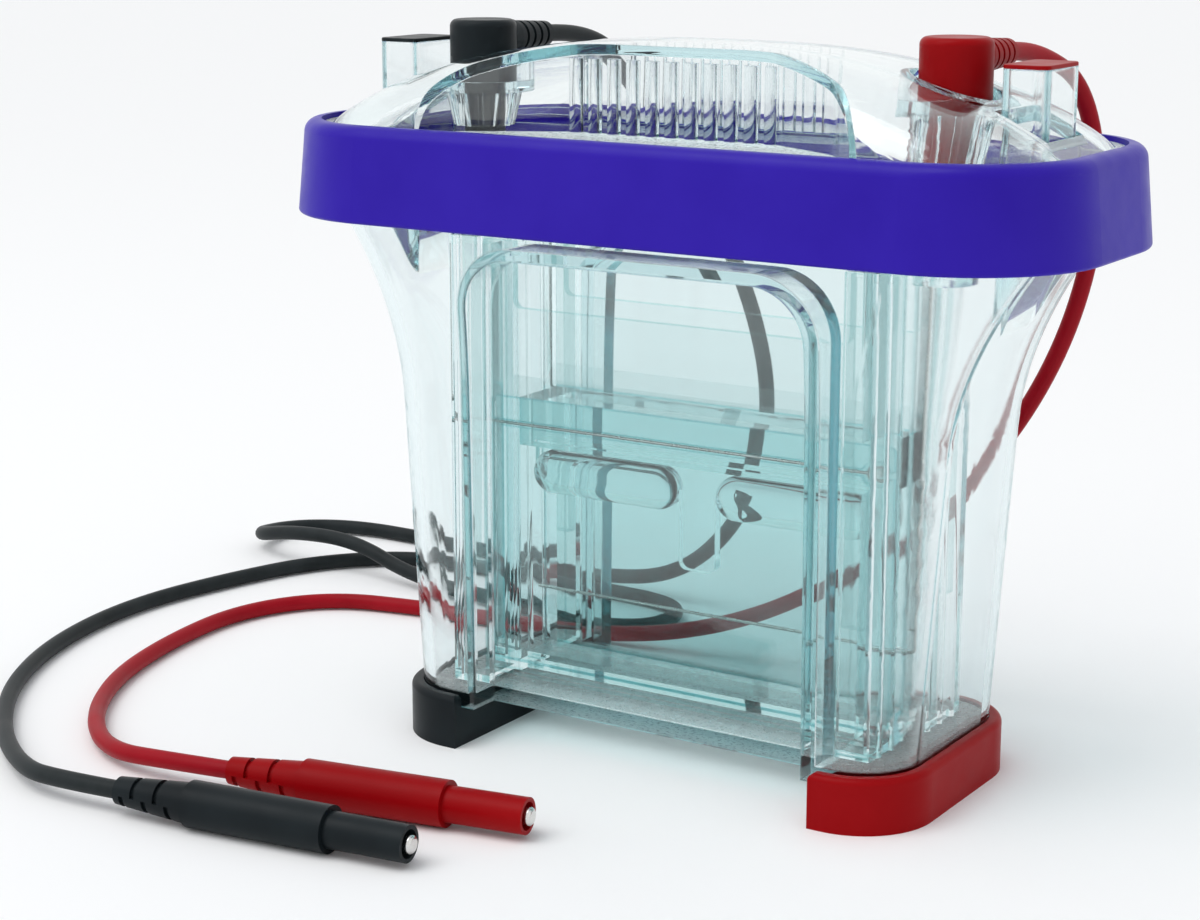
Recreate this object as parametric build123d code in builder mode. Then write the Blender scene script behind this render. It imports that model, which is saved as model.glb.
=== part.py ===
from build123d import *
import math
import os

# Vertical electrophoresis tank: a clear buffer tank with coloured feet, a lift-out
# electrode core that holds two pairs of gel plates, and a lid with two leads.
# Millimetres, +Z up, front towards -Y, origin on the bench under the tank's middle.

# Feet
foot_height = 12.0
foot_pad = 9.0
foot_wrap = 3.0
foot_gap = 3.2
foot_edge = 1.4

# Tank shell
tank_overhang = 33.0
tank_half_depth = 29.8
tank_corner = 14.0
tank_wall = 2.5
tank_floor = 3.0
tank_draft = 0.068
flare_start_z = 78.0
flare_top_z = 126.0
flare_steps = 4
rim_top_z = 134.0

# Recessed panel on the front and the back
recess_margin = 20.5
recess_depth_y = 22.0
recess_top_z = 112.0
recess_corner = 12.0

# Alignment posts
post_inset = 8.4
post_length_x = 10.0
post_width_y = 17.0
post_corner = 2.0
post_wall = 1.6
post_top_z = 155.2
post_cap_height = 0.8
post_bore_floor_z = 119.0
post_bottom_z = 102.0
post_merge_z = 120.0
post_cap_edge = 0.3

# Lid
lid_wall = 2.2
flange_thickness = 2.4
flange_inset = 0.2
lip_clearance = 0.5
dome_inset = 1.6
dome_ease = 0.4
dome_setback_x = 2.3
dome_setback_y = 0.6
dome_rise = 19.6
dome_steps = 7
dome_last_angle = 84.0
dome_length_power = 1.1
dome_length_round = 0.385
dome_depth_power = 2.26
dome_depth_round = 0.36
deck_height = 1.8
grip_half_depth = 14.0
grip_half_length = 24.0
pocket_shoulder = (43.0, 25.0)
pocket_half_width = 58.0
pocket_corner = 5.0
pocket_shoulder_round = 14.0
grip_rib_count = 11
grip_rib_pitch = 4.75
grip_rib_radius = 1.6
grip_rib_drop = 3.8
slot_clearance = 0.6

# Lid band
band_half_length = 95.0
band_half_depth = 40.8
band_corner = 30.0
band_bottom_z = 118.3
band_top_z = 139.2
band_draft = 2.0
band_thickness = 2.4
band_top_round = 3.0
band_bottom_round = 0.8
band_gap = 1.0

# Electrode pins and plugs
pin_reach = 5.5
pin_radius = 2.0
pin_fit = 0.08
pin_top_z = 146.0
pin_base_radius = 3.6
pin_base_height = 3.0
pin_chamfer = 0.7
sleeve_wall = 1.3
sleeve_play = 0.02
sleeve_bottom_z = 135.0
sleeve_length = 12.5
stem_radius = 4.9
stem_bottom_z = 134.8
plug_seat_depth = 10.8
plug_head_radius = 7.5
plug_head_edge = 1.6
plug_head_height = 13.5
plug_exit_rise = 9.0
plug_boss_radius = 4.0
plug_boss_length = 10.5
plug_well_clearance = 1.8
collar_bottom_z = 137.0
collar_bottom_radius = 6.35
collar_top_radius = 8.1
collar_rib_count = 12
collar_rib_radius = 0.7
relief_length = 14.0
relief_root_radius = 3.7
relief_tip_radius = 2.9
relief_ring_count = 4
relief_ring_pitch = 3.0
relief_ring_first = 3.0
relief_ring_width = 1.0
relief_groove = 0.6

# Electrode core
core_clearance = 0.3
core_top_z = 115.0
column_gap = 1.5
column_width = 9.5
column_half_depth = 7.5
cheek_thickness = 1.9
cheek_half_depth = 20.5
lip_thickness = 1.9
lip_gap = 1.0
ledge_thickness = 1.2
column_rib_radius = 0.8
column_rib_places = (4.0, 10.0, 16.0)
beam_bottom_z = 66.0
beam_top_z = 77.0
bar_centre_z = 59.0
bar_height = 10.0
bar_half_depth = 4.0
bar_round = 3.0
bar_gap_x = 5.0
web_half_depth = 1.2
tab_half_width = 4.6
tab_bottom_z = 41.0
tab_corner = 2.0
rail_height = 4.0
rail_half_depth = 5.0
arm_thickness = 4.0
arm_half_depth = 6.0

# Panels, gaskets, plates and wedges, stacked outwards from the core's face
layer_thickness = 1.8
plate_thickness = 2.0
plate_side_gap = 0.6
plate_height = 99.5
notch_margin = 8.0
notch_depth = 15.0
notch_corner = 2.0
outer_plate_extra = 1.5
spacer_thickness = 1.0
spacer_width = 6.0
spacer_inset = 0.5
gasket_inset = 0.5
gasket_width = 4.7
gasket_gap = 0.3
skirt_bottom_z = 15.0
skirt_corner = 1.5
skirt_groove_floor = 0.5
wedge_play = 0.2
wedge_taper = 0.9
wedge_bottom_z = 40.0
wedge_taper_height = 30.0
wedge_width = 5.2
wedge_side_gap = 0.5
wedge_tab_height = 9.0
wedge_tab_round = 2.4
wedge_tab_sink = 1.0
wedge_tab_inset = 0.4

# Wires
wire_radius = 0.35
wire_bore = 0.7
cathode_wire_z = 71.0
anode_wire_z = 31.0
wire_bend = 1.5
wire_rise = 4.0
riser_gap = 1.5
eye_gap = 3.5
eye_radius = 1.5
eye_pocket_radius = 2.7
terminal_radius = 0.9
terminal_length = 1.2

# Leads
cord_radius = 2.0
cord_corner_share = 0.45
lead_grip_radius = 5.0
lead_grip_length = 33.5
lead_relief_length = 18.0
lead_relief_tip = 3.0
lead_relief_step = 0.6
lead_slit_count = 5
lead_slit_pitch = 3.0
lead_slit_first = 1.6
lead_slit_width = 1.2
lead_slit_depth = 0.7
lead_sheath_outer = 3.9
lead_sheath_inner = 3.0
lead_sheath_length = 18.0
lead_pin_radius = 2.0
lead_pin_proud = 1.2
lead_pin_tip = 0.9
floor_lift = 0.2
black_lead_start = (-80.7, -102.5)
black_lead_angle = 7.2
black_lead_run = 15.1
red_lead_start = (-68.8, -80.7)
red_lead_angle = 10.0
red_lead_run = 16.2

# Sizes that follow from the ones above
tank_base_z = foot_pad
floor_top_z = tank_base_z + tank_floor
core_foot_z = floor_top_z + core_clearance
band_inner_length = band_half_length - band_draft - band_thickness
band_inner_depth = band_half_depth - band_draft - band_thickness
band_inner_corner = band_corner - band_draft - band_thickness
rim_half_length = band_inner_length - band_gap
rim_half_depth = band_inner_depth - band_gap
rim_corner = band_inner_corner - band_gap
tank_half_length = band_half_length - tank_overhang
flare_overhang = rim_half_length - tank_half_length
flare_out = flare_overhang - tank_draft * (flare_top_z - tank_base_z)
flare_depth_share = (rim_half_depth - tank_half_depth) / flare_overhang
flare_corner_share = (rim_corner - tank_corner) / flare_overhang
recess_half_width = tank_half_length - recess_margin
foot_inner_x = recess_half_width + foot_gap
post_inner_x = rim_half_length - post_inset - post_length_x
post_centre_x = post_inner_x + post_length_x / 2
flange_top_z = rim_top_z + flange_thickness
pocket_floor_z = flange_top_z + deck_height
dome_crown_z = pocket_floor_z + dome_rise
grip_rib_top_z = dome_crown_z - grip_rib_drop
plug_seat_z = dome_crown_z - plug_seat_depth
plug_top_z = plug_seat_z + plug_head_height
plug_exit_z = plug_seat_z + plug_exit_rise
dome_half_length = band_inner_length - flange_inset - dome_inset
dome_half_depth = band_inner_depth - flange_inset - dome_inset + dome_ease
dome_corner = band_inner_corner - flange_inset - dome_inset + dome_ease
dome_corner_share = dome_corner / dome_half_depth
dome_base_length = dome_half_length - dome_setback_x
dome_base_depth = dome_half_depth - dome_setback_y
column_inner_x = recess_half_width + column_gap
column_outer_x = column_inner_x + column_width
cheek_inner_x = column_outer_x - cheek_thickness
lip_inner_x = recess_half_width + tank_wall + lip_gap
plate_half_width = cheek_inner_x - plate_side_gap
notch_half_width = plate_half_width - notch_margin
gasket_outer_x = plate_half_width - gasket_inset
pin_x = column_outer_x + pin_reach
riser_x = column_outer_x + riser_gap
eye_x = column_inner_x + eye_gap
plate_foot_z = core_foot_z + ledge_thickness
notched_face = column_half_depth + layer_thickness
spacer_face = notched_face + plate_thickness
outer_face = spacer_face + spacer_thickness
wedge_face = outer_face + plate_thickness + wedge_play
lip_face = cheek_half_depth - lip_thickness
wedge_depth = lip_face - wedge_play - wedge_face
lead_axis_z = lead_grip_radius
cord_floor_z = cord_radius + floor_lift

os.makedirs("parts", exist_ok=True)


def save(builder, name):
    """Label a finished piece and write it to its own file."""
    builder.part.label = name
    export_step(builder.part, f"parts/{name}.step")


def tank_half_length_at(z):
    """Half length of the tank's outer wall: a slight draft, then a square-law flare."""
    rise = max(0.0, z - flare_start_z) / (flare_top_z - flare_start_z)
    return tank_half_length + tank_draft * (z - tank_base_z) + flare_out * rise**2


def tank_section(z, grow):
    """Rounded rectangle of the tank's wall at this height, moved outwards by grow."""
    half_length = tank_half_length_at(z)
    spread = half_length - tank_half_length
    with BuildSketch(Plane.XY.offset(z)) as section:
        RectangleRounded(
            2 * (half_length + grow),
            2 * (tank_half_depth + flare_depth_share * spread + grow),
            tank_corner + flare_corner_share * spread + grow,
        )
    return section.sketch


def tank_form(bottom_z, grow):
    """Solid inside the tank's outer wall, moved outwards by grow, from bottom_z to the flare's top."""
    flare_step = (flare_top_z - flare_start_z) / flare_steps
    with BuildPart() as form:
        add(tank_section(bottom_z, grow))
        add(tank_section(flare_start_z, grow))
        loft(ruled=True)
        for step in range(flare_steps + 1):
            add(tank_section(flare_start_z + step * flare_step, grow))
        loft()
    return form.part


def recess_form(grow):
    """Arched pocket cut into the front wall, open at the tank's base, moved outwards by grow."""
    with BuildPart() as form:
        with BuildSketch(Plane.XZ.offset(recess_depth_y - grow)):
            with Locations((0, recess_top_z / 2)):
                Rectangle(2 * (recess_half_width + grow), recess_top_z + 2 * grow)
            fillet(vertices().group_by(Axis.Y)[-1], recess_corner + grow)
        extrude(amount=band_half_depth)
    return form.part


def dome_form(grow):
    """Pillow of the dome on the lid's deck, moved outwards by grow, smaller as it climbs."""
    with BuildPart() as form:
        for step in range(dome_steps + 1):
            climb = math.sin(math.radians(dome_last_angle * step / dome_steps))
            half_length = (1 - climb**dome_length_power) ** dome_length_round * dome_base_length
            half_depth = (1 - climb**dome_depth_power) ** dome_depth_round * dome_base_depth
            z = pocket_floor_z + climb * (dome_crown_z - pocket_floor_z)
            with BuildSketch(Plane.XY.offset(z + grow)):
                RectangleRounded(
                    2 * (half_length + grow),
                    2 * (half_depth + grow),
                    dome_corner_share * half_depth + grow,
                )
        loft()
    return form.part


def finger_pocket_form(grow):
    """Space for the fingers in front of the lid's grip, moved outwards by grow."""
    shoulder_x, shoulder_y = pocket_shoulder
    far_y = 2 * band_half_depth
    with BuildPart() as form:
        with BuildSketch(Plane.XY.offset(pocket_floor_z - max(grow, 0.0))):
            with BuildLine():
                Polyline(
                    (-pocket_half_width, -far_y),
                    (-pocket_half_width, -band_half_depth),
                    (-shoulder_x, -shoulder_y),
                    (-grip_half_length, -grip_half_depth),
                    (grip_half_length, -grip_half_depth),
                    (shoulder_x, -shoulder_y),
                    (pocket_half_width, -band_half_depth),
                    (pocket_half_width, -far_y),
                    close=True,
                )
            make_face()
            fillet(vertices().group_by(Axis.Y)[-2], pocket_shoulder_round)
            fillet(vertices().group_by(Axis.Y)[-1], pocket_corner)
            if grow > 0:
                offset(amount=grow, kind=Kind.INTERSECTION)
        extrude(amount=2 * (dome_crown_z - pocket_floor_z))
    return form.part


# Feet: end caps that wrap the tank's base, open towards the middle
for side, name in ((-1, "foot_black"), (1, "foot_red")):
    with BuildPart() as foot:
        with BuildSketch():
            RectangleRounded(
                2 * (tank_half_length + foot_wrap),
                2 * (tank_half_depth + foot_wrap),
                tank_corner + foot_wrap,
            )
            with Locations((-side * tank_half_length, 0)):
                Rectangle(
                    2 * (tank_half_length + foot_inner_x),
                    3 * tank_half_depth,
                    mode=Mode.SUBTRACT,
                )
        extrude(amount=foot_height)
        fillet(foot.edges().group_by(Axis.Z)[-1], foot_edge)
        with BuildSketch(Plane.XY.offset(foot_pad)):
            RectangleRounded(
                2 * (tank_half_length + core_clearance),
                2 * (tank_half_depth + core_clearance),
                tank_corner + core_clearance,
            )
        extrude(amount=foot_height, mode=Mode.SUBTRACT)
    save(foot, name)

# Tank: flared shell with recessed panels, a straight rim and two hollow posts
tank_outer = tank_form(tank_base_z, 0.0)
tank_inner = tank_form(floor_top_z, -tank_wall)
front_recess = recess_form(0.0)
front_recess_inner = recess_form(tank_wall)

with BuildPart() as tank_cavity:
    add(tank_inner)
    with BuildSketch(Plane.XY.offset(flare_top_z)):
        RectangleRounded(
            2 * (rim_half_length - tank_wall),
            2 * (rim_half_depth - tank_wall),
            rim_corner - tank_wall,
        )
    extrude(amount=2 * (rim_top_z - flare_top_z))
    add(front_recess_inner, mode=Mode.SUBTRACT)
    add(mirror(front_recess_inner, about=Plane.XZ, mode=Mode.PRIVATE), mode=Mode.SUBTRACT)

with BuildPart() as tank_posts:
    with BuildSketch(Plane.XY.offset(post_bottom_z)):
        with Locations((-post_centre_x, 0), (post_centre_x, 0)):
            RectangleRounded(post_length_x, post_width_y, post_corner)
    extrude(amount=post_top_z - post_bottom_z)

with BuildPart() as post_zone:
    add(tank_outer)
    with BuildSketch(Plane.XY.offset(post_merge_z)):
        Rectangle(2 * tank_half_length_at(post_merge_z), band_half_depth)
    extrude(amount=post_top_z)

with BuildPart() as tank:
    add(tank_outer)
    with BuildSketch(Plane.XY.offset(flare_top_z)):
        RectangleRounded(2 * rim_half_length, 2 * rim_half_depth, rim_corner)
    extrude(amount=rim_top_z - flare_top_z)
    add(front_recess, mode=Mode.SUBTRACT)
    add(mirror(front_recess, about=Plane.XZ, mode=Mode.PRIVATE), mode=Mode.SUBTRACT)
    add(tank_cavity.part, mode=Mode.SUBTRACT)
    add(tank_posts.part & post_zone.part)
    with BuildSketch(Plane.XY.offset(post_bore_floor_z)):
        with Locations((-post_centre_x, 0), (post_centre_x, 0)):
            Rectangle(post_length_x - 2 * post_wall, post_width_y - 2 * post_wall)
    extrude(amount=post_top_z, mode=Mode.SUBTRACT)
save(tank, "tank")

# Caps of the posts: thin coloured plates bonded on the hollow posts
for side, name in ((-1, "post_cap_black"), (1, "post_cap_red")):
    with BuildPart() as cap:
        with BuildSketch(Plane.XY.offset(post_top_z)):
            with Locations((side * post_centre_x, 0)):
                RectangleRounded(post_length_x, post_width_y, post_corner)
        extrude(amount=post_cap_height)
        fillet(cap.edges().group_by(Axis.Z)[-1], post_cap_edge)
    save(cap, name)

# Lid: clear dome with a central grip between two finger pockets
dome_outer = dome_form(0.0)
dome_inner = dome_form(-lid_wall)
front_pocket = finger_pocket_form(0.0)
front_pocket_inner = finger_pocket_form(lid_wall)
plug_well_radius = plug_head_radius + plug_well_clearance


def plug_seat_form(side, grow):
    """Round well and cable channel sunk in the dome for one plug, moved outwards by grow."""
    with BuildPart() as form:
        with BuildSketch(Plane.XY.offset(plug_seat_z - grow)):
            with Locations((side * pin_x, 0)):
                Circle(plug_well_radius + grow)
        extrude(amount=2 * (dome_crown_z - plug_seat_z))
        with BuildSketch(Plane.XZ):
            with Locations((side * pin_x, plug_exit_z)):
                Circle(plug_boss_radius + plug_well_clearance / 2 + grow)
            with Locations((side * pin_x, plug_exit_z + plug_well_radius)):
                Rectangle(
                    2 * plug_boss_radius + plug_well_clearance + 2 * grow,
                    2 * plug_well_radius,
                )
        extrude(amount=-band_half_depth)
    return form.part


with BuildPart() as lid_cavity:
    add(dome_inner)
    with BuildSketch(Plane.XY.offset(rim_top_z - flange_thickness)):
        RectangleRounded(
            2 * (dome_half_length - lid_wall),
            2 * (dome_half_depth - lid_wall),
            dome_corner - lid_wall,
        )
    extrude(amount=2 * flange_thickness + deck_height - lid_wall)
    add(front_pocket_inner, mode=Mode.SUBTRACT)
    add(mirror(front_pocket_inner, about=Plane.XZ, mode=Mode.PRIVATE), mode=Mode.SUBTRACT)
    for side in (-1, 1):
        add(plug_seat_form(side, lid_wall), mode=Mode.SUBTRACT)

with BuildPart() as lid_dome:
    add(dome_outer)
    with BuildSketch(Plane.XY.offset(rim_top_z)):
        RectangleRounded(
            2 * (band_inner_length - flange_inset),
            2 * (band_inner_depth - flange_inset),
            band_inner_corner - flange_inset,
        )
    extrude(amount=flange_thickness)
    with BuildSketch(Plane.XY.offset(flange_top_z)):
        RectangleRounded(2 * dome_half_length, 2 * dome_half_depth, dome_corner)
    extrude(amount=deck_height)
    add(front_pocket, mode=Mode.SUBTRACT)
    add(mirror(front_pocket, about=Plane.XZ, mode=Mode.PRIVATE), mode=Mode.SUBTRACT)
    for side in (-1, 1):
        add(plug_seat_form(side, 0.0), mode=Mode.SUBTRACT)
    add(lid_cavity.part, mode=Mode.SUBTRACT)
    # grip ribs
    with BuildSketch(Plane.XY.offset(pocket_floor_z)):
        for wall_y in (-grip_half_depth, grip_half_depth):
            with Locations((0, wall_y)):
                with GridLocations(grip_rib_pitch, 1, grip_rib_count, 1):
                    Circle(grip_rib_radius)
    extrude(amount=grip_rib_top_z - pocket_floor_z)
    # fluted collars under the plug wells
    for side in (-1, 1):
        with BuildSketch(Plane.XY.offset(collar_bottom_z)):
            with Locations((side * pin_x, 0)):
                Circle(collar_bottom_radius)
                with PolarLocations(collar_bottom_radius, collar_rib_count):
                    Circle(collar_rib_radius)
        with BuildSketch(Plane.XY.offset(plug_seat_z - lid_wall)):
            with Locations((side * pin_x, 0)):
                Circle(collar_top_radius)
                with PolarLocations(collar_top_radius, collar_rib_count):
                    Circle(collar_rib_radius)
        loft(ruled=True)
        with BuildSketch(Plane.XY.offset(collar_bottom_z)):
            with Locations((side * pin_x, 0)):
                Circle(stem_radius + core_clearance)
        extrude(amount=plug_seat_z, mode=Mode.SUBTRACT)
    # slots for the posts
    with BuildSketch(Plane.XY.offset(rim_top_z)):
        with Locations((-post_centre_x, 0), (post_centre_x, 0)):
            Rectangle(post_length_x + 2 * slot_clearance, post_width_y + 2 * slot_clearance)
    extrude(amount=dome_crown_z, mode=Mode.SUBTRACT)
save(lid_dome, "lid_dome")

# Band: drafted skirt ring that clips over the lid's flange
with BuildPart() as lid_band:
    for z, inset in ((band_bottom_z, 0.0), (band_top_z, band_draft)):
        with BuildSketch(Plane.XY.offset(z)):
            RectangleRounded(
                2 * (band_half_length - inset),
                2 * (band_half_depth - inset),
                band_corner - inset,
            )
    loft(ruled=True)
    fillet(lid_band.edges().group_by(Axis.Z)[-1], band_top_round)
    fillet(lid_band.edges().group_by(Axis.Z)[0], band_bottom_round)
    with BuildSketch(Plane.XY.offset(band_bottom_z)):
        RectangleRounded(2 * band_inner_length, 2 * band_inner_depth, band_inner_corner)
    extrude(amount=flange_top_z - band_bottom_z, mode=Mode.SUBTRACT)
    with BuildSketch(Plane.XY.offset(band_bottom_z)):
        RectangleRounded(
            2 * (dome_half_length + lip_clearance),
            2 * (dome_half_depth + lip_clearance),
            dome_corner + lip_clearance,
        )
    extrude(amount=band_top_z, mode=Mode.SUBTRACT)
save(lid_band, "lid_band")

# Right-angle plugs in the lid, their strain reliefs and contact sleeves
sleeve_outer = pin_radius + pin_fit + sleeve_wall
relief_slope = (relief_root_radius - relief_tip_radius) / relief_length
for side, colour in ((-1, "black"), (1, "red")):
    x = side * pin_x
    with BuildPart() as housing:
        with BuildSketch(Plane.XY.offset(plug_seat_z)):
            with Locations((x, 0)):
                Circle(plug_head_radius)
        extrude(amount=plug_top_z - plug_seat_z)
        fillet(housing.edges().group_by(Axis.Z)[-1], plug_head_edge)
        with BuildSketch(Plane.XY.offset(stem_bottom_z)):
            with Locations((x, 0)):
                Circle(stem_radius)
        extrude(amount=plug_seat_z - stem_bottom_z)
        with BuildSketch(Plane.XZ.offset(-plug_boss_length)):
            with Locations((x, plug_exit_z)):
                Circle(plug_boss_radius)
        extrude(amount=plug_boss_length)
        with BuildSketch(Plane.XY.offset(stem_bottom_z)):
            with Locations((x, 0)):
                Circle(sleeve_outer + sleeve_play)
        extrude(amount=sleeve_bottom_z - stem_bottom_z + sleeve_length, mode=Mode.SUBTRACT)
    save(housing, f"{colour}_plug_housing")

    with BuildPart() as sleeve:
        with BuildSketch(Plane.XY.offset(sleeve_bottom_z)):
            with Locations((x, 0)):
                Circle(sleeve_outer)
                Circle(pin_radius + pin_fit, mode=Mode.SUBTRACT)
        extrude(amount=sleeve_length)
    save(sleeve, f"{colour}_contact_sleeve")

    with BuildPart() as relief:
        with BuildSketch(Plane.XZ.offset(-plug_boss_length)):
            with Locations((x, plug_exit_z)):
                Circle(relief_root_radius)
        with BuildSketch(Plane.XZ.offset(-plug_boss_length - relief_length)):
            with Locations((x, plug_exit_z)):
                Circle(relief_tip_radius)
        loft(ruled=True)
        for ring in range(relief_ring_count):
            ring_place = relief_ring_first + ring * relief_ring_pitch
            ring_radius = relief_root_radius - relief_slope * ring_place - relief_groove
            with BuildSketch(Plane.XZ.offset(-plug_boss_length - ring_place)):
                with Locations((x, plug_exit_z)):
                    Circle(2 * relief_root_radius)
                    Circle(ring_radius, mode=Mode.SUBTRACT)
            extrude(amount=relief_ring_width, mode=Mode.SUBTRACT)
    save(relief, f"{colour}_strain_relief")

# Electrode core: two channel columns, a beam, rounded bars, a tab and the pin arms
with BuildPart() as module_core:
    with BuildSketch(Plane.XY.offset(core_foot_z)):
        for side in (-1, 1):
            with Locations((side * (column_inner_x + column_outer_x) / 2, 0)):
                Rectangle(column_outer_x - column_inner_x, 2 * column_half_depth)
            with Locations((side * (column_outer_x - cheek_thickness / 2), 0)):
                Rectangle(cheek_thickness, 2 * cheek_half_depth)
            for face in (-1, 1):
                with Locations(
                    (
                        side * (lip_inner_x + column_outer_x) / 2,
                        face * (cheek_half_depth - lip_thickness / 2),
                    )
                ):
                    Rectangle(column_outer_x - lip_inner_x, lip_thickness)
                for rib_y in column_rib_places:
                    with Locations((side * column_outer_x, face * rib_y)):
                        Circle(column_rib_radius)
    extrude(amount=core_top_z - core_foot_z)
    # ledges that carry the plates
    with BuildSketch(Plane.XY.offset(core_foot_z)):
        for side in (-1, 1):
            with Locations((side * (lip_inner_x + column_outer_x) / 2, 0)):
                Rectangle(column_outer_x - lip_inner_x, 2 * cheek_half_depth)
    extrude(amount=ledge_thickness)
    # beam between the columns and the lower rail
    with BuildSketch(Plane.XY.offset(beam_bottom_z)):
        Rectangle(2 * column_inner_x, 2 * column_half_depth)
    extrude(amount=beam_top_z - beam_bottom_z)
    with BuildSketch(Plane.XY.offset(core_foot_z)):
        Rectangle(2 * column_inner_x, 2 * rail_half_depth)
    extrude(amount=rail_height)
    # centre web with its tab
    with BuildSketch(Plane.XZ):
        with Locations((0, (tab_bottom_z + beam_bottom_z) / 2)):
            Rectangle(2 * tab_half_width, beam_bottom_z - tab_bottom_z)
        fillet(vertices().group_by(Axis.Y)[0], tab_corner)
        with Locations((0, (bar_centre_z + beam_bottom_z) / 2)):
            Rectangle(2 * column_inner_x, beam_bottom_z - bar_centre_z)
    extrude(amount=web_half_depth, both=True)
    # pin arms
    with BuildSketch(Plane.XY.offset(core_top_z - arm_thickness)):
        for side in (-1, 1):
            with Locations((side * (column_outer_x + pin_x) / 2, 0)):
                Rectangle(pin_x - column_outer_x, 2 * arm_half_depth)
            with Locations((side * pin_x, 0)):
                Circle(arm_half_depth)
    extrude(amount=arm_thickness)
    # wire bores
    with BuildSketch(Plane.YZ.offset(column_inner_x - wire_bore)):
        with Locations((0, anode_wire_z)):
            Circle(wire_bore)
    extrude(amount=riser_x - column_inner_x, mode=Mode.SUBTRACT)
    with BuildSketch(Plane.YZ.offset(-riser_x)):
        with Locations((-column_half_depth - layer_thickness / 2, cathode_wire_z)):
            Circle(wire_bore)
    extrude(amount=riser_x - plate_half_width, mode=Mode.SUBTRACT)

with BuildPart() as bar:
    bar_length = column_inner_x - bar_gap_x
    with BuildSketch(Plane.XZ):
        with Locations(
            (-(bar_gap_x + bar_length / 2), bar_centre_z),
            (bar_gap_x + bar_length / 2, bar_centre_z),
        ):
            SlotOverall(bar_length, bar_height)
    extrude(amount=bar_half_depth, both=True)
    fillet(bar.edges().filter_by(Plane.XZ), bar_round)

with BuildPart() as core_with_bars:
    add(module_core.part)
    add(bar.part)
save(core_with_bars, "module_core")

# Electrode pins on the arms
for side, name in ((-1, "cathode_pin"), (1, "anode_pin")):
    with BuildPart() as electrode_pin:
        with BuildSketch(Plane.XY.offset(core_top_z)):
            with Locations((side * pin_x, 0)):
                Circle(pin_base_radius)
        extrude(amount=pin_base_height)
        with BuildSketch(Plane.XY.offset(core_top_z)):
            with Locations((side * pin_x, 0)):
                Circle(pin_radius)
        extrude(amount=pin_top_z - core_top_z)
        chamfer(electrode_pin.edges().group_by(Axis.Z)[-1], pin_chamfer)
    save(electrode_pin, name)

# Tinted skirt panels, gaskets, plates and spacers, front and back alike
skirt_top_z = beam_top_z
for face, name in ((-1, "front"), (1, "back")):

    def layer(distance):
        """Plane parallel to the front, at this distance from the middle, drawn looking at +X right."""
        return Plane((0, face * distance, 0), x_dir=(1, 0, 0), z_dir=(0, face, 0))

    up = -1 if face > 0 else 1

    with BuildPart() as skirt:
        with BuildSketch(layer(column_half_depth)):
            with Locations((0, up * (skirt_bottom_z + skirt_top_z) / 2)):
                RectangleRounded(2 * plate_half_width, skirt_top_z - skirt_bottom_z, skirt_corner)
        extrude(amount=layer_thickness)
        if face < 0:
            with BuildSketch(layer(column_half_depth + skirt_groove_floor)):
                with Locations((0, cathode_wire_z)):
                    Rectangle(2 * plate_half_width, 2 * wire_bore)
                with Locations((eye_x, cathode_wire_z)):
                    Circle(eye_pocket_radius)
            extrude(amount=layer_thickness, mode=Mode.SUBTRACT)
    save(skirt, f"{name}_skirt_panel")

    gasket_bottom_z = skirt_top_z + gasket_gap
    gasket_top_z = core_top_z - notch_corner
    with BuildPart() as gasket:
        with BuildSketch(layer(column_half_depth)):
            with Locations((0, up * (gasket_bottom_z + gasket_top_z) / 2)):
                Rectangle(2 * gasket_outer_x, gasket_top_z - gasket_bottom_z)
            with Locations((0, up * (gasket_bottom_z + gasket_top_z + gasket_width) / 2)):
                Rectangle(
                    2 * (gasket_outer_x - gasket_width),
                    gasket_top_z - gasket_bottom_z - gasket_width,
                    mode=Mode.SUBTRACT,
                )
        extrude(amount=layer_thickness)
    save(gasket, f"{name}_gasket")

    with BuildPart() as notched_plate:
        with BuildSketch(layer(notched_face)):
            with Locations((0, up * (plate_foot_z + plate_height / 2))):
                Rectangle(2 * plate_half_width, plate_height)
            with Locations((0, up * (plate_foot_z + plate_height))):
                RectangleRounded(
                    2 * notch_half_width,
                    2 * notch_depth,
                    notch_corner,
                    mode=Mode.SUBTRACT,
                )
        extrude(amount=plate_thickness)
    save(notched_plate, f"{name}_notched_plate")

    with BuildPart() as spacers:
        with BuildSketch(layer(spacer_face)):
            for side in (-1, 1):
                with Locations(
                    (
                        side * (plate_half_width - spacer_inset - spacer_width / 2),
                        up * (plate_foot_z + plate_height / 2),
                    )
                ):
                    Rectangle(spacer_width, plate_height - 2 * spacer_inset)
        extrude(amount=spacer_thickness)
    save(spacers, f"{name}_spacers")

    with BuildPart() as outer_plate:
        outer_height = plate_height + outer_plate_extra
        with BuildSketch(layer(outer_face)):
            with Locations((0, up * (plate_foot_z + outer_height / 2))):
                Rectangle(2 * plate_half_width, outer_height)
        extrude(amount=plate_thickness)
    save(outer_plate, f"{name}_outer_plate")

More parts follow.
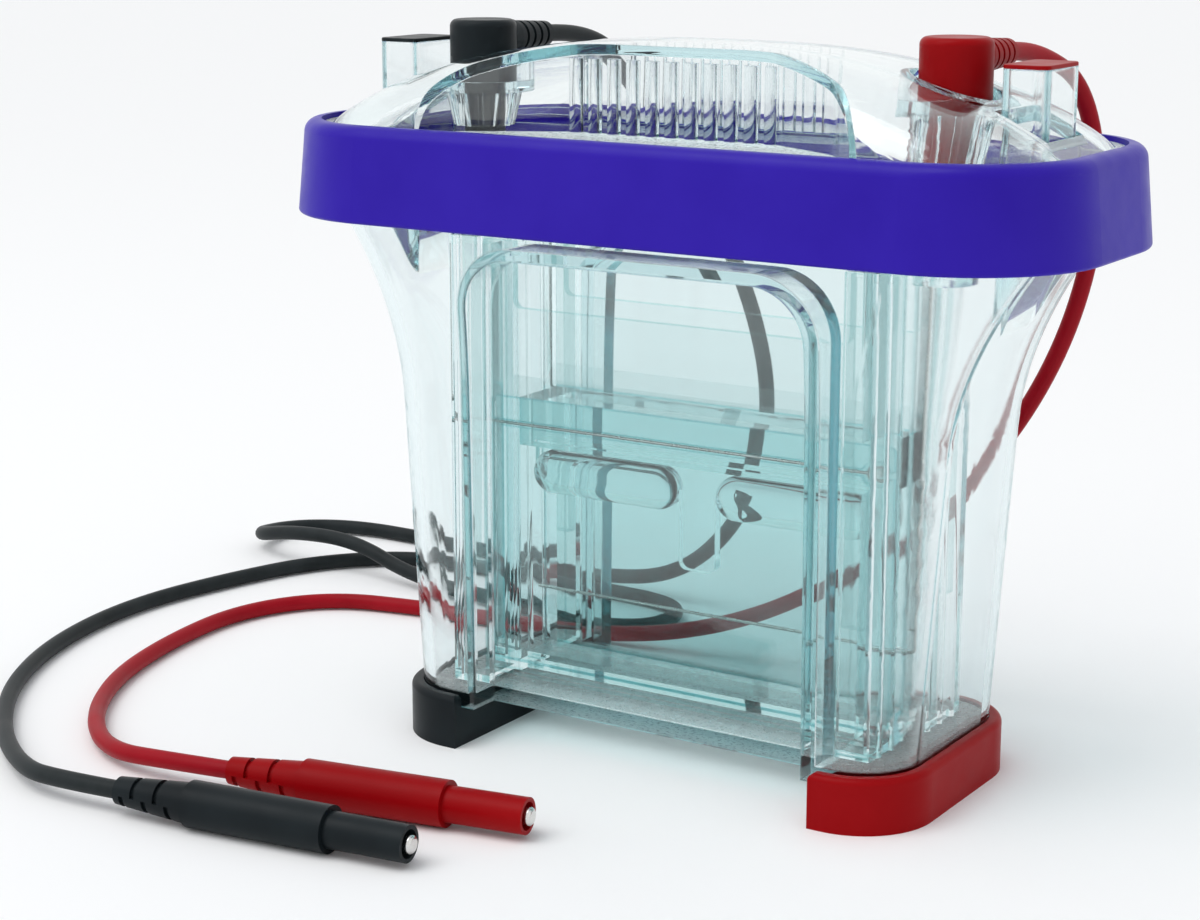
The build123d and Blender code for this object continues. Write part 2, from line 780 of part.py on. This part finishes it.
# Wedges: tapered bars between the outer plates and the column lips, with a tab on top
wedge_outer_x = cheek_inner_x - wedge_side_gap
wedge_top_z = core_top_z + wedge_tab_sink
wedge_tab_z = wedge_top_z + wedge_tab_height / 2 - wedge_tab_sink
for face, face_name in ((-1, "front"), (1, "back")):
    for side, side_name in ((-1, "left"), (1, "right")):
        near = face * wedge_face
        far = face * (wedge_face + wedge_depth)
        with BuildPart() as wedge:
            with BuildSketch(Plane.YZ.offset(side * (wedge_outer_x - wedge_width / 2))):
                with BuildLine():
                    Polyline(
                        (near + face * wedge_taper, wedge_bottom_z),
                        (far, wedge_bottom_z),
                        (far, wedge_top_z),
                        (near, wedge_top_z),
                        (near, wedge_bottom_z + wedge_taper_height),
                        close=True,
                    )
                make_face()
            extrude(amount=wedge_width / 2, both=True)
            with BuildSketch(Plane.XZ.offset(-(near + far) / 2)):
                with Locations((side * (wedge_outer_x - wedge_width), wedge_tab_z)):
                    RectangleRounded(2 * wedge_width, wedge_tab_height, wedge_tab_round)
            extrude(amount=wedge_depth / 2 - wedge_tab_inset, both=True)
        save(wedge, f"{face_name}_{side_name}_wedge")


def wire(points, bend):
    """Round wire along straight runs joined by bends."""
    start = Vector(*points[0])
    heading = Vector(*points[1]) - start
    with BuildPart() as strand:
        with BuildLine():
            FilletPolyline(*points, radius=bend)
        with BuildSketch(Plane(origin=start, z_dir=heading)):
            Circle(wire_radius)
        sweep()
    return strand.part


# Electrode wires, with the eye and terminal screw of the cathode wire
wire_y = -(column_half_depth + layer_thickness / 2)
arm_under_z = core_top_z - arm_thickness
cathode_run = wire(
    [
        (eye_x - eye_radius, wire_y, cathode_wire_z),
        (-riser_x, wire_y, cathode_wire_z),
        (-riser_x, 0, cathode_wire_z + wire_rise),
        (-riser_x, 0, arm_under_z),
    ],
    wire_bend,
)
with BuildPart() as cathode_wire:
    add(cathode_run)
    with BuildSketch(Plane((eye_x, wire_y, cathode_wire_z), x_dir=(1, 0, 0), z_dir=(0, 0, 1))):
        with Locations((eye_radius, 0)):
            Circle(wire_radius)
    revolve(axis=Axis((eye_x, wire_y, cathode_wire_z), (0, 1, 0)))
save(cathode_wire, "cathode_wire")

with BuildPart() as cathode_terminal:
    with BuildSketch(Plane.XZ.offset(column_half_depth + skirt_groove_floor)):
        with Locations((eye_x, cathode_wire_z)):
            Circle(terminal_radius)
    extrude(amount=terminal_length)
save(cathode_terminal, "cathode_terminal")

with BuildPart() as anode_wire:
    add(
        wire(
            [
                (-column_inner_x, 0, anode_wire_z),
                (riser_x, 0, anode_wire_z),
                (riser_x, 0, arm_under_z),
            ],
            wire_bend,
        )
    )
save(anode_wire, "anode_wire")

# Far plugs of the leads: slit relief, grip, insulating sheath and contact pin
lead_relief_slope = (lead_grip_radius - lead_relief_step - lead_relief_tip) / lead_relief_length
for colour, start, angle in (
    ("black", black_lead_start, black_lead_angle),
    ("red", red_lead_start, red_lead_angle),
):
    along = Vector(math.cos(math.radians(angle)), math.sin(math.radians(angle)), 0)
    origin = Vector(start[0], start[1], lead_axis_z)

    def lead_plane(distance):
        """Plane square to the plug's axis, at this distance from the cord's end."""
        return Plane(origin=origin + along * distance, x_dir=(0, 0, 1), z_dir=along)

    with BuildPart() as grip:
        with BuildSketch(lead_plane(0)):
            Circle(lead_relief_tip)
        with BuildSketch(lead_plane(lead_relief_length)):
            Circle(lead_grip_radius - lead_relief_step)
        loft(ruled=True)
        with BuildSketch(lead_plane(lead_relief_length)):
            Circle(lead_grip_radius)
        extrude(amount=lead_grip_length)
        for slit in range(lead_slit_count):
            slit_place = lead_slit_first + slit * lead_slit_pitch
            slit_radius = lead_relief_tip + lead_relief_slope * slit_place - lead_slit_depth
            with BuildSketch(lead_plane(slit_place)):
                Circle(2 * lead_grip_radius)
                Circle(slit_radius, mode=Mode.SUBTRACT)
                with Locations(((-1) ** slit * lead_grip_radius * 2, 0)):
                    Rectangle(
                        4 * lead_grip_radius,
                        4 * lead_grip_radius,
                        mode=Mode.SUBTRACT,
                    )
            extrude(amount=lead_slit_width, mode=Mode.SUBTRACT)
    save(grip, f"{colour}_lead_grip")

    sheath_start = lead_relief_length + lead_grip_length
    with BuildPart() as sheath:
        with BuildSketch(lead_plane(sheath_start)):
            Circle(lead_sheath_outer)
            Circle(lead_sheath_inner, mode=Mode.SUBTRACT)
        extrude(amount=lead_sheath_length)
    save(sheath, f"{colour}_lead_sheath")

    with BuildPart() as contact:
        with BuildSketch(lead_plane(sheath_start)):
            Circle(lead_pin_radius)
        extrude(amount=lead_sheath_length + lead_pin_proud)
        tip_edge = contact.edges().sort_by_distance(origin)[-1]
        fillet(tip_edge, lead_pin_tip)
    save(contact, f"{colour}_lead_pin")


def before_plug(start, angle, run):
    """Point on a far plug's axis, this far before the cord's end."""
    return (
        start[0] - run * math.cos(math.radians(angle)),
        start[1] - run * math.sin(math.radians(angle)),
        lead_axis_z,
    )


# Leads: routes chosen by hand, from the lid's plug to the far plug
relief_end_y = plug_boss_length + relief_length
black_route = [
    (-pin_x, relief_end_y, plug_exit_z),
    (-pin_x, 39, plug_exit_z),
    (-57, 57, 149),
    (-48, 77, 120),
    (-36, 87, 89),
    (-31, 91, 58),
    (-40, 94, 28),
    (-62, 97, 7),
    (-92, 99, cord_floor_z),
    (-124, 103, cord_floor_z),
    (-154, 105, cord_floor_z),
    (-180, 105, cord_floor_z),
    (-196, 94, 2.6),
    (-195, 74, 4.5),
    (-174, 69, 9.5),
    (-153, 70, 9.5),
    (-132, 67, 3.4),
    (-100, 63, cord_floor_z),
    (-53, 60, cord_floor_z),
    (-52, 88, cord_floor_z),
    (-88, 90, cord_floor_z),
    (-122, 89, cord_floor_z),
    (-146, 86, cord_floor_z),
    (-165, 68, cord_floor_z),
    (-174, 42, cord_floor_z),
    (-180, 8, cord_floor_z),
    (-174, -26, cord_floor_z),
    (-159, -57, cord_floor_z),
    (-136, -83, cord_floor_z),
    (-110, -102, 4.0),
    before_plug(black_lead_start, black_lead_angle, black_lead_run),
    (black_lead_start[0], black_lead_start[1], lead_axis_z),
]
red_route = [
    (pin_x, relief_end_y, plug_exit_z),
    (pin_x, 39, plug_exit_z),
    (64, 56, 147),
    (66, 62, 118),
    (58, 63, 86),
    (40, 63, 56),
    (13, 63, 31),
    (-17, 61, 12),
    (-48, 56, 3),
    (-80, 51, cord_floor_z),
    (-112, 47, cord_floor_z),
    (-139, 41, cord_floor_z),
    (-152, 18, cord_floor_z),
    (-149, -13, cord_floor_z),
    (-140, -42, cord_floor_z),
    (-124, -66, cord_floor_z),
    (-104, -82, 3.2),
    before_plug(red_lead_start, red_lead_angle, red_lead_run),
    (red_lead_start[0], red_lead_start[1], lead_axis_z),
]


def corner_radii(points):
    """Radius at each corner: as large as its two runs allow."""
    places = [Vector(*point) for point in points]
    radii = []
    for before, here, after in zip(places, places[1:], places[2:]):
        run_in = here - before
        run_out = after - here
        turn = math.radians(run_in.get_angle(run_out))
        shorter = min(run_in.length, run_out.length)
        radii.append(cord_corner_share * shorter / math.tan(turn / 2))
    return radii


for name, route in (("black_cord", black_route), ("red_cord", red_route)):
    radii = corner_radii(route)
    with BuildPart() as cord:
        with BuildLine() as path:
            FilletPolyline(*route, radius=radii)
        with BuildSketch(Plane(origin=route[0], z_dir=path.line % 0)):
            Circle(cord_radius)
        sweep()
    cord_length = sum(edge.length for edge in path.edges())
    runs = [(Vector(*a) - Vector(*b)).length for a, b in zip(route, route[1:])]
    expected = math.pi * cord_radius**2 * cord_length
    print(name, "radii", [round(radius) for radius in radii])
    print(name, "runs", [round(run) for run in runs])
    print(name, "length", round(cord_length, 1), "volume share", round(cord.part.volume / expected, 4))
    save(cord, name)
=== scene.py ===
import math

import bpy
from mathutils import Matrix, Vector


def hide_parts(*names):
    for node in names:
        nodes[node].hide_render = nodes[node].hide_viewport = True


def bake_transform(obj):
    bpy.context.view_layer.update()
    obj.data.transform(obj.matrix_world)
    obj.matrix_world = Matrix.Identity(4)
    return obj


# Vertical electrophoresis tank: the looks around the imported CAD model.
# Metres, +Z up, front towards -Y.

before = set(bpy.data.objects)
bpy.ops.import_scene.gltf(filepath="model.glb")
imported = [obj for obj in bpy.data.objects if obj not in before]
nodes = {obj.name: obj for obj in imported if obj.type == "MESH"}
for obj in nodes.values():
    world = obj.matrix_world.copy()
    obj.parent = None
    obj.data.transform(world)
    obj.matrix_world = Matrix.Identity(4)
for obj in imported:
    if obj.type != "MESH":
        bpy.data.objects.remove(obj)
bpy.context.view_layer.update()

# Camera, fitted to the photograph
camera_place = (0.2706, -0.4646, 0.1922)
camera_pitch = 76.79
camera_turn = 32.63
camera_lens = 74.96

camera_data = bpy.data.cameras.new("photo_camera")
camera_data.sensor_fit = "HORIZONTAL"
camera_data.sensor_width = 36.0
camera_data.lens = camera_lens
camera_data.clip_start = 0.02
camera_data.clip_end = 60.0
camera = bpy.data.objects.new("photo_camera", camera_data)
camera.location = camera_place
camera.rotation_euler = (math.radians(camera_pitch), 0.0, math.radians(camera_turn))
bpy.context.scene.collection.objects.link(camera)
bpy.context.scene.camera = camera
bpy.context.scene.view_settings.view_transform = "Standard"

# Light passes through many layers of clear plastic and runs along inside the walls,
# so it needs many bounces
cycles = bpy.context.scene.cycles
cycles.max_bounces = 72
cycles.glossy_bounces = 64
cycles.transmission_bounces = 48
cycles.transparent_max_bounces = 48


# Leads: the routes of part.py, in metres
cord_diameter = 0.004
black_route = [
    (-0.058, 0.0245, 0.156),
    (-0.058, 0.039, 0.156),
    (-0.057, 0.057, 0.149),
    (-0.048, 0.077, 0.120),
    (-0.036, 0.087, 0.089),
    (-0.031, 0.091, 0.058),
    (-0.040, 0.094, 0.028),
    (-0.062, 0.097, 0.007),
    (-0.092, 0.099, 0.0022),
    (-0.124, 0.103, 0.0022),
    (-0.154, 0.105, 0.0022),
    (-0.180, 0.105, 0.0022),
    (-0.196, 0.094, 0.0026),
    (-0.195, 0.074, 0.0045),
    (-0.174, 0.069, 0.0095),
    (-0.153, 0.070, 0.0095),
    (-0.132, 0.067, 0.0034),
    (-0.100, 0.063, 0.0022),
    (-0.053, 0.060, 0.0022),
    (-0.052, 0.088, 0.0022),
    (-0.088, 0.090, 0.0022),
    (-0.122, 0.089, 0.0022),
    (-0.146, 0.086, 0.0022),
    (-0.165, 0.068, 0.0022),
    (-0.174, 0.042, 0.0022),
    (-0.180, 0.008, 0.0022),
    (-0.174, -0.026, 0.0022),
    (-0.159, -0.057, 0.0022),
    (-0.136, -0.083, 0.0022),
    (-0.110, -0.102, 0.004),
    (-0.0957, -0.1044, 0.005),
    (-0.0807, -0.1025, 0.005),
]
red_route = [
    (0.058, 0.0245, 0.156),
    (0.058, 0.039, 0.156),
    (0.064, 0.056, 0.147),
    (0.066, 0.062, 0.118),
    (0.058, 0.063, 0.086),
    (0.040, 0.063, 0.056),
    (0.013, 0.063, 0.031),
    (-0.017, 0.061, 0.012),
    (-0.048, 0.056, 0.003),
    (-0.080, 0.051, 0.0022),
    (-0.112, 0.047, 0.0022),
    (-0.139, 0.041, 0.0022),
    (-0.152, 0.018, 0.0022),
    (-0.149, -0.013, 0.0022),
    (-0.140, -0.042, 0.0022),
    (-0.124, -0.066, 0.0022),
    (-0.104, -0.082, 0.0032),
    (-0.0848, -0.0835, 0.005),
    (-0.0688, -0.0807, 0.005),
]


def route_curve(name, points, bevel):
    """Curve object with one NURBS spline whose control points are the route's points."""
    curve = bpy.data.curves.new(name, "CURVE")
    curve.dimensions = "3D"
    curve.resolution_u = 10
    curve.bevel_depth = bevel
    curve.bevel_resolution = 5
    curve.use_fill_caps = bevel > 0
    spline = curve.splines.new("NURBS")
    spline.points.add(len(points) - 1)
    for point, place in zip(spline.points, points):
        point.co = (*place, 1.0)
    spline.order_u = 3
    spline.use_endpoint_u = True
    holder = bpy.data.objects.new(name, curve)
    bpy.context.scene.collection.objects.link(holder)
    return holder


def curve_mesh(holder):
    """Mesh of a curve object, which is then removed."""
    bpy.context.view_layer.update()
    graph = bpy.context.evaluated_depsgraph_get()
    mesh = bpy.data.meshes.new_from_object(holder.evaluated_get(graph))
    curve = holder.data
    bpy.data.objects.remove(holder)
    bpy.data.curves.remove(curve)
    return mesh


def lead(colour, points):
    """One flexible lead, a round tube along the route's points, that stands for the CAD cord, which
    it hides.
    """
    line = curve_mesh(route_curve("line", points, 0.0))
    bpy.data.meshes.remove(line)
    mesh = curve_mesh(route_curve("tube", points, cord_diameter / 2))
    mesh.shade_smooth()
    piece = bpy.data.objects.new(f"{colour}_lead", mesh)
    bpy.context.scene.collection.objects.link(piece)
    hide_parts(f"{colour}_cord")
    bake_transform(piece)
    return piece


black_lead = lead("black", black_route)
red_lead = lead("red", red_route)


# Materials
class Maker:
    """Node tree of one material, with short calls for its nodes."""

    def __init__(self, name):
        self.material = bpy.data.materials.new(name)
        self.material.use_nodes = True
        self.tree = self.material.node_tree
        self.tree.nodes.clear()
        self.output = self.node("ShaderNodeOutputMaterial")
        self.place = self.node("ShaderNodeTexCoord").outputs["Object"]

    def node(self, kind, **inputs):
        made = self.tree.nodes.new(kind)
        for key, value in inputs.items():
            made.inputs[key.replace("_", " ")].default_value = value
        return made

    def link(self, source, target):
        self.tree.links.new(source, target)

    def noise(self, scale, detail=3.0, roughness=0.5):
        made = self.node("ShaderNodeTexNoise", Scale=scale, Detail=detail, Roughness=roughness)
        self.link(self.place, made.inputs["Vector"])
        return made.outputs["Fac"]

    def spread(self, source, low, high, start=0.3, end=0.7):
        made = self.node("ShaderNodeMapRange")
        made.inputs["From Min"].default_value = start
        made.inputs["From Max"].default_value = end
        made.inputs["To Min"].default_value = low
        made.inputs["To Max"].default_value = high
        self.link(source, made.inputs["Value"])
        return made.outputs["Result"]

    def blend(self, source, first, second):
        made = self.node("ShaderNodeMix")
        made.data_type = "RGBA"
        for socket in made.inputs:
            if socket.type == "RGBA" and socket.name == "A":
                socket.default_value = (*first, 1.0)
            if socket.type == "RGBA" and socket.name == "B":
                socket.default_value = (*second, 1.0)
        self.link(source, made.inputs["Factor"])
        return next(s for s in made.outputs if s.type == "RGBA")

    def bump(self, height, strength, distance, under=None):
        made = self.node("ShaderNodeBump", Strength=strength, Distance=distance)
        self.link(height, made.inputs["Height"])
        if under is not None:
            self.link(under, made.inputs["Normal"])
        return made.outputs["Normal"]

    def facing(self, axis, start, end):
        """0 where the face looks away from the axis, 1 where it looks along it, either way."""
        split = self.node("ShaderNodeSeparateXYZ")
        self.link(self.node("ShaderNodeTexCoord").outputs["Normal"], split.inputs["Vector"])
        size = self.node("ShaderNodeMath")
        size.operation = "ABSOLUTE"
        self.link(split.outputs[axis], size.inputs[0])
        return self.spread(size.outputs["Value"], 0.0, 1.0, start, end)

    def product(self, first, second):
        made = self.node("ShaderNodeMath")
        made.operation = "MULTIPLY"
        self.link(first, made.inputs[0])
        self.link(second, made.inputs[1])
        return made.outputs["Value"]

    def mix(self, share, first, second):
        """Mix of two shaders; share is the second one's part, a number or a socket."""
        made = self.node("ShaderNodeMixShader")
        if isinstance(share, float):
            made.inputs["Fac"].default_value = share
        else:
            self.link(share, made.inputs["Fac"])
        self.link(first, made.inputs[1])
        self.link(second, made.inputs[2])
        return made.outputs["Shader"]

    def surface(self, shader):
        self.link(shader, self.output.inputs["Surface"])
        return self.material

    def principled(self, **inputs):
        return self.node("ShaderNodeBsdfPrincipled", **inputs)


deep_teal = (0.0, 0.57, 0.63, 1.0)
shadow_tint = (0.97, 0.985, 0.985, 1.0)
frost_edge = 0.0003


def clear_material(name, ior, density, ripple, frost_below, rounding):
    """Clear moulded plastic: refraction, a tint that deepens with thickness, soft ripples.

    Level faces lower than frost_below are frosted, like the tank's floor and the lid's deck.
    Light meets the edges as if they were rounded by rounding, which also evens out the flare.
    Shadow rays pass straight through, so that the plastic's own shadow stays light.
    """
    maker = Maker(name)
    clear = maker.principled(IOR=ior, Transmission_Weight=1.0, Specular_IOR_Level=0.25)
    clear.inputs["Base Color"].default_value = (1.0, 1.0, 1.0, 1.0)
    smear = maker.noise(35.0, 2.0)
    maker.link(maker.spread(smear, 0.01, 0.022), clear.inputs["Roughness"])
    waves = maker.noise(22.0, 1.0)
    soft_edges = maker.node("ShaderNodeBevel", Radius=rounding)
    soft_edges.samples = 4
    swell = maker.bump(waves, 1.0, ripple, soft_edges.outputs["Normal"])
    maker.link(swell, clear.inputs["Normal"])
    frosted = maker.principled(IOR=ior, Transmission_Weight=0.8)
    sand = maker.noise(900.0, 4.0, 0.7)
    grains = maker.blend(maker.spread(sand, 0.0, 1.0), (0.90, 0.95, 0.95), (1.0, 1.0, 1.0))
    maker.link(grains, frosted.inputs["Base Color"])
    maker.link(maker.spread(sand, 0.2, 0.4), frosted.inputs["Roughness"])
    maker.link(maker.bump(sand, 0.3, 0.0001), frosted.inputs["Normal"])
    split = maker.node("ShaderNodeSeparateXYZ")
    maker.link(maker.place, split.inputs["Vector"])
    low = maker.spread(split.outputs["Z"], 1.0, 0.0, frost_below, frost_below + frost_edge)
    frost = maker.product(low, maker.facing("Z", 0.9, 0.95))
    shader = maker.mix(frost, clear.outputs["BSDF"], frosted.outputs["BSDF"])
    passing = maker.node("ShaderNodeBsdfTransparent", Color=shadow_tint)
    ray = maker.node("ShaderNodeLightPath")
    shaded = maker.mix(ray.outputs["Is Shadow Ray"], shader, passing.outputs["BSDF"])
    volume = maker.node("ShaderNodeVolumeAbsorption", Color=deep_teal, Density=density)
    maker.link(volume.outputs["Volume"], maker.output.inputs["Volume"])
    return maker.surface(shaded)


def pane_material(name, face_tint, edge_tint, roughness):
    """Flat sheet: clear faces with a faint gloss, and ground edges where it looks away from Y."""
    maker = Maker(name)
    clear = maker.node("ShaderNodeBsdfTransparent", Color=(*face_tint, 1.0))
    gloss = maker.node("ShaderNodeBsdfGlossy")
    smear = maker.noise(30.0, 3.0)
    maker.link(maker.spread(smear, roughness, roughness * 2.5), gloss.inputs["Roughness"])
    fresnel = maker.node("ShaderNodeFresnel", IOR=1.2)
    face = maker.mix(fresnel.outputs["Fac"], clear.outputs["BSDF"], gloss.outputs["BSDF"])
    ground = maker.principled(IOR=1.5, Roughness=0.45)
    pale = tuple(0.5 + 0.5 * part for part in edge_tint)
    speckle = maker.spread(maker.noise(700.0, 2.0), 0.0, 1.0)
    maker.link(maker.blend(speckle, edge_tint, pale), ground.inputs["Base Color"])
    through = maker.node("ShaderNodeBsdfTransparent", Color=(*edge_tint, 1.0))
    edge = maker.mix(0.15, through.outputs["BSDF"], ground.outputs["BSDF"])
    return maker.surface(maker.mix(maker.facing("Y", 0.4, 0.8), edge, face))


def plastic_material(name, colour, lighter, roughness, grain, gloss):
    """Opaque moulded plastic: faint cloudiness, fine spark grain and uneven gloss."""
    maker = Maker(name)
    shader = maker.principled(IOR=1.48, Specular_IOR_Level=gloss)
    cloud = maker.noise(45.0, 4.0)
    shade = maker.blend(maker.spread(cloud, 0.0, 1.0), colour, lighter)
    maker.link(shade, shader.inputs["Base Color"])
    polish = maker.noise(160.0, 3.0)
    maker.link(maker.spread(polish, roughness * 0.85, roughness * 1.15), shader.inputs["Roughness"])
    texture = maker.noise(2600.0, 2.0)
    maker.link(maker.bump(texture, 0.25, grain), shader.inputs["Normal"])
    return maker.surface(shader.outputs["BSDF"])


def metal_material(name, colour, roughness, rings):
    """Turned or drawn metal: fine tool marks and uneven polish."""
    maker = Maker(name)
    shader = maker.principled(Metallic=1.0)
    tarnish = maker.noise(300.0, 3.0)
    darker = tuple(0.8 * part for part in colour)
    shade = maker.blend(maker.spread(tarnish, 0.0, 1.0), darker, colour)
    maker.link(shade, shader.inputs["Base Color"])
    maker.link(maker.spread(tarnish, roughness, roughness * 1.5), shader.inputs["Roughness"])
    marks = maker.noise(rings, 2.0)
    maker.link(maker.bump(marks, 0.3, 0.00002), shader.inputs["Normal"])
    return maker.surface(shader.outputs["BSDF"])


def silicone_material(name, colour, pale):
    """Clear silicone: lets most light straight through, with a milky, slightly dusty skin."""
    maker = Maker(name)
    shader = maker.principled(Transmission_Weight=0.55, IOR=1.41)
    clear = maker.node("ShaderNodeBsdfTransparent", Color=(0.95, 0.98, 0.98, 1.0))
    dust = maker.noise(120.0, 4.0)
    shade = maker.blend(maker.spread(dust, 0.0, 1.0), colour, pale)
    maker.link(shade, shader.inputs["Base Color"])
    maker.link(maker.spread(dust, 0.35, 0.55), shader.inputs["Roughness"])
    maker.link(maker.bump(maker.noise(900.0), 0.2, 0.00005), shader.inputs["Normal"])
    return maker.surface(maker.mix(0.08, clear.outputs["BSDF"], shader.outputs["BSDF"]))


def lead_material(name, colour, lighter):
    """Soft silicone insulation of a test lead: satin, with faint handling marks."""
    maker = Maker(name)
    shader = maker.principled(Sheen_Weight=0.02, Sheen_Roughness=0.4, Specular_IOR_Level=0.1)
    marks = maker.noise(90.0, 5.0, 0.6)
    shade = maker.blend(maker.spread(marks, 0.0, 1.0), colour, lighter)
    maker.link(shade, shader.inputs["Base Color"])
    maker.link(maker.spread(marks, 0.38, 0.52), shader.inputs["Roughness"])
    maker.link(maker.bump(maker.noise(1800.0, 2.0), 0.2, 0.00003), shader.inputs["Normal"])
    return maker.surface(shader.outputs["BSDF"])


body_plastic = clear_material("tank_plastic", 1.49, 25.0, 0.00002, 0.0123, 0.0008)
lid_plastic = clear_material("lid_plastic", 1.49, 18.0, 0.00003, 0.1384, 0.0003)
core_plastic = clear_material("core_plastic", 1.33, 8.0, 0.00002, 0.0, 0.0)
pane_glass = pane_material("plate_glass", (0.965, 0.982, 0.982), (0.72, 0.90, 0.90), 0.02)
panel_acrylic = pane_material("tinted_acrylic", (0.87, 0.95, 0.95), (0.50, 0.80, 0.82), 0.04)
strip_plastic = pane_material("strip_plastic", (0.97, 0.99, 0.99), (0.80, 0.92, 0.92), 0.03)
purple_plastic = plastic_material(
    "purple_plastic", (0.023, 0.005, 0.34), (0.029, 0.009, 0.38), 0.34, 0.00004, 0.15
)
black_plastic = plastic_material(
    "black_plastic", (0.007, 0.010, 0.012), (0.014, 0.020, 0.023), 0.38, 0.00006, 0.1
)
red_plastic = plastic_material(
    "red_plastic", (0.28, 0.001, 0.003), (0.32, 0.003, 0.005), 0.36, 0.00006, 0.07
)
brass_metal = metal_material("brass", (0.74, 0.56, 0.26), 0.25, 1500.0)
platinum_metal = metal_material("platinum", (0.62, 0.61, 0.59), 0.22, 4000.0)
pin_metal = metal_material("nickel", (0.80, 0.79, 0.77), 0.18, 2200.0)
silicone = silicone_material("silicone", (0.76, 0.84, 0.84), (0.86, 0.91, 0.91))
black_rubber = lead_material("black_insulation", (0.014, 0.018, 0.019), (0.026, 0.032, 0.034))
red_rubber = lead_material("red_insulation", (0.30, 0.003, 0.010), (0.36, 0.006, 0.015))

finishes = {
    "tank": body_plastic,
    "lid_dome": lid_plastic,
    "lid_band": purple_plastic,
    "module_core": core_plastic,
    "foot_black": black_plastic,
    "foot_red": red_plastic,
    "post_cap_black": black_plastic,
    "post_cap_red": red_plastic,
    "cathode_wire": platinum_metal,
    "anode_wire": platinum_metal,
    "cathode_terminal": pin_metal,
    "cathode_pin": pin_metal,
    "anode_pin": pin_metal,
}
for face in ("front", "back"):
    finishes[f"{face}_skirt_panel"] = panel_acrylic
    finishes[f"{face}_gasket"] = silicone
    finishes[f"{face}_notched_plate"] = pane_glass
    finishes[f"{face}_outer_plate"] = pane_glass
    finishes[f"{face}_spacers"] = strip_plastic
    for side in ("left", "right"):
        finishes[f"{face}_{side}_wedge"] = strip_plastic
for colour, plastic in (("black", black_plastic), ("red", red_plastic)):
    finishes[f"{colour}_plug_housing"] = plastic
    finishes[f"{colour}_strain_relief"] = plastic
    finishes[f"{colour}_contact_sleeve"] = brass_metal
    finishes[f"{colour}_lead_grip"] = plastic
    finishes[f"{colour}_lead_sheath"] = plastic
    finishes[f"{colour}_lead_pin"] = pin_metal
    finishes[f"{colour}_cord"] = plastic

for name, node in nodes.items():
    for place in node.material_slots:
        place.material = finishes[name]
black_lead.data.materials.append(black_rubber)
red_lead.data.materials.append(red_rubber)


# Floor, backdrop and light
floor_half = 12.0
floor_mesh = bpy.data.meshes.new("floor")
floor_mesh.from_pydata(
    [
        (-floor_half, -floor_half, 0.0),
        (floor_half, -floor_half, 0.0),
        (floor_half, floor_half, 0.0),
        (-floor_half, floor_half, 0.0),
    ],
    [],
    [(0, 1, 2, 3)],
)
floor = bpy.data.objects.new("floor", floor_mesh)
bpy.context.scene.collection.objects.link(floor)
floor_maker = Maker("floor_paint")
floor_shader = floor_maker.principled(Base_Color=(0.97, 0.97, 0.97, 1.0), Roughness=0.9)
floor_mesh.materials.append(floor_maker.surface(floor_shader.outputs["BSDF"]))

world = bpy.data.worlds.new("studio")
bpy.context.scene.world = world
world.use_nodes = True
world_tree = world.node_tree
world_tree.nodes.clear()
world_output = world_tree.nodes.new("ShaderNodeOutputWorld")


def background(colour, strength):
    """One light level of the world."""
    made = world_tree.nodes.new("ShaderNodeBackground")
    made.inputs["Color"].default_value = colour
    made.inputs["Strength"].default_value = strength
    return made.outputs["Background"]


# The object is lit at a plain level, and where the world is seen, straight on, mirrored or
# through the clear plastic, it is white
rays = world_tree.nodes.new("ShaderNodeLightPath")
seen = rays.outputs["Is Camera Ray"]
for kind in ("Is Transmission Ray", "Is Glossy Ray"):
    either = world_tree.nodes.new("ShaderNodeMath")
    either.operation = "MAXIMUM"
    world_tree.links.new(seen, either.inputs[0])
    world_tree.links.new(rays.outputs[kind], either.inputs[1])
    seen = either.outputs["Value"]
choice = world_tree.nodes.new("ShaderNodeMixShader")
world_tree.links.new(seen, choice.inputs["Fac"])
world_tree.links.new(background((0.96, 0.98, 1.0, 1.0), 0.67), choice.inputs[1])
world_tree.links.new(background((1.0, 1.0, 1.0, 1.0), 1.0), choice.inputs[2])
world_tree.links.new(choice.outputs["Shader"], world_output.inputs["Surface"])


def softbox(name, place, aim, width, height, power):
    """Rectangular soft light that faces a point."""
    data = bpy.data.lights.new(name, "AREA")
    data.shape = "RECTANGLE"
    data.size = width
    data.size_y = height
    data.energy = power
    lamp = bpy.data.objects.new(name, data)
    lamp.location = place
    direction = Vector(aim) - Vector(place)
    lamp.rotation_euler = direction.to_track_quat("-Z", "Y").to_euler()
    bpy.context.scene.collection.objects.link(lamp)


object_middle = (0.0, 0.0, 0.08)
softbox("key_light", (-0.55, -0.75, 0.85), object_middle, 0.7, 0.7, 2.2)
softbox("side_light", (0.95, -0.15, 0.55), object_middle, 0.5, 0.8, 0.15)
sun_data = bpy.data.lights.new("sky_light", "SUN")
sun_data.energy = 0.97
sun_data.angle = math.radians(40.0)
sun = bpy.data.objects.new("sky_light", sun_data)
sun.rotation_euler = (math.radians(18.0), math.radians(-14.0), 0.0)
bpy.context.scene.collection.objects.link(sun)
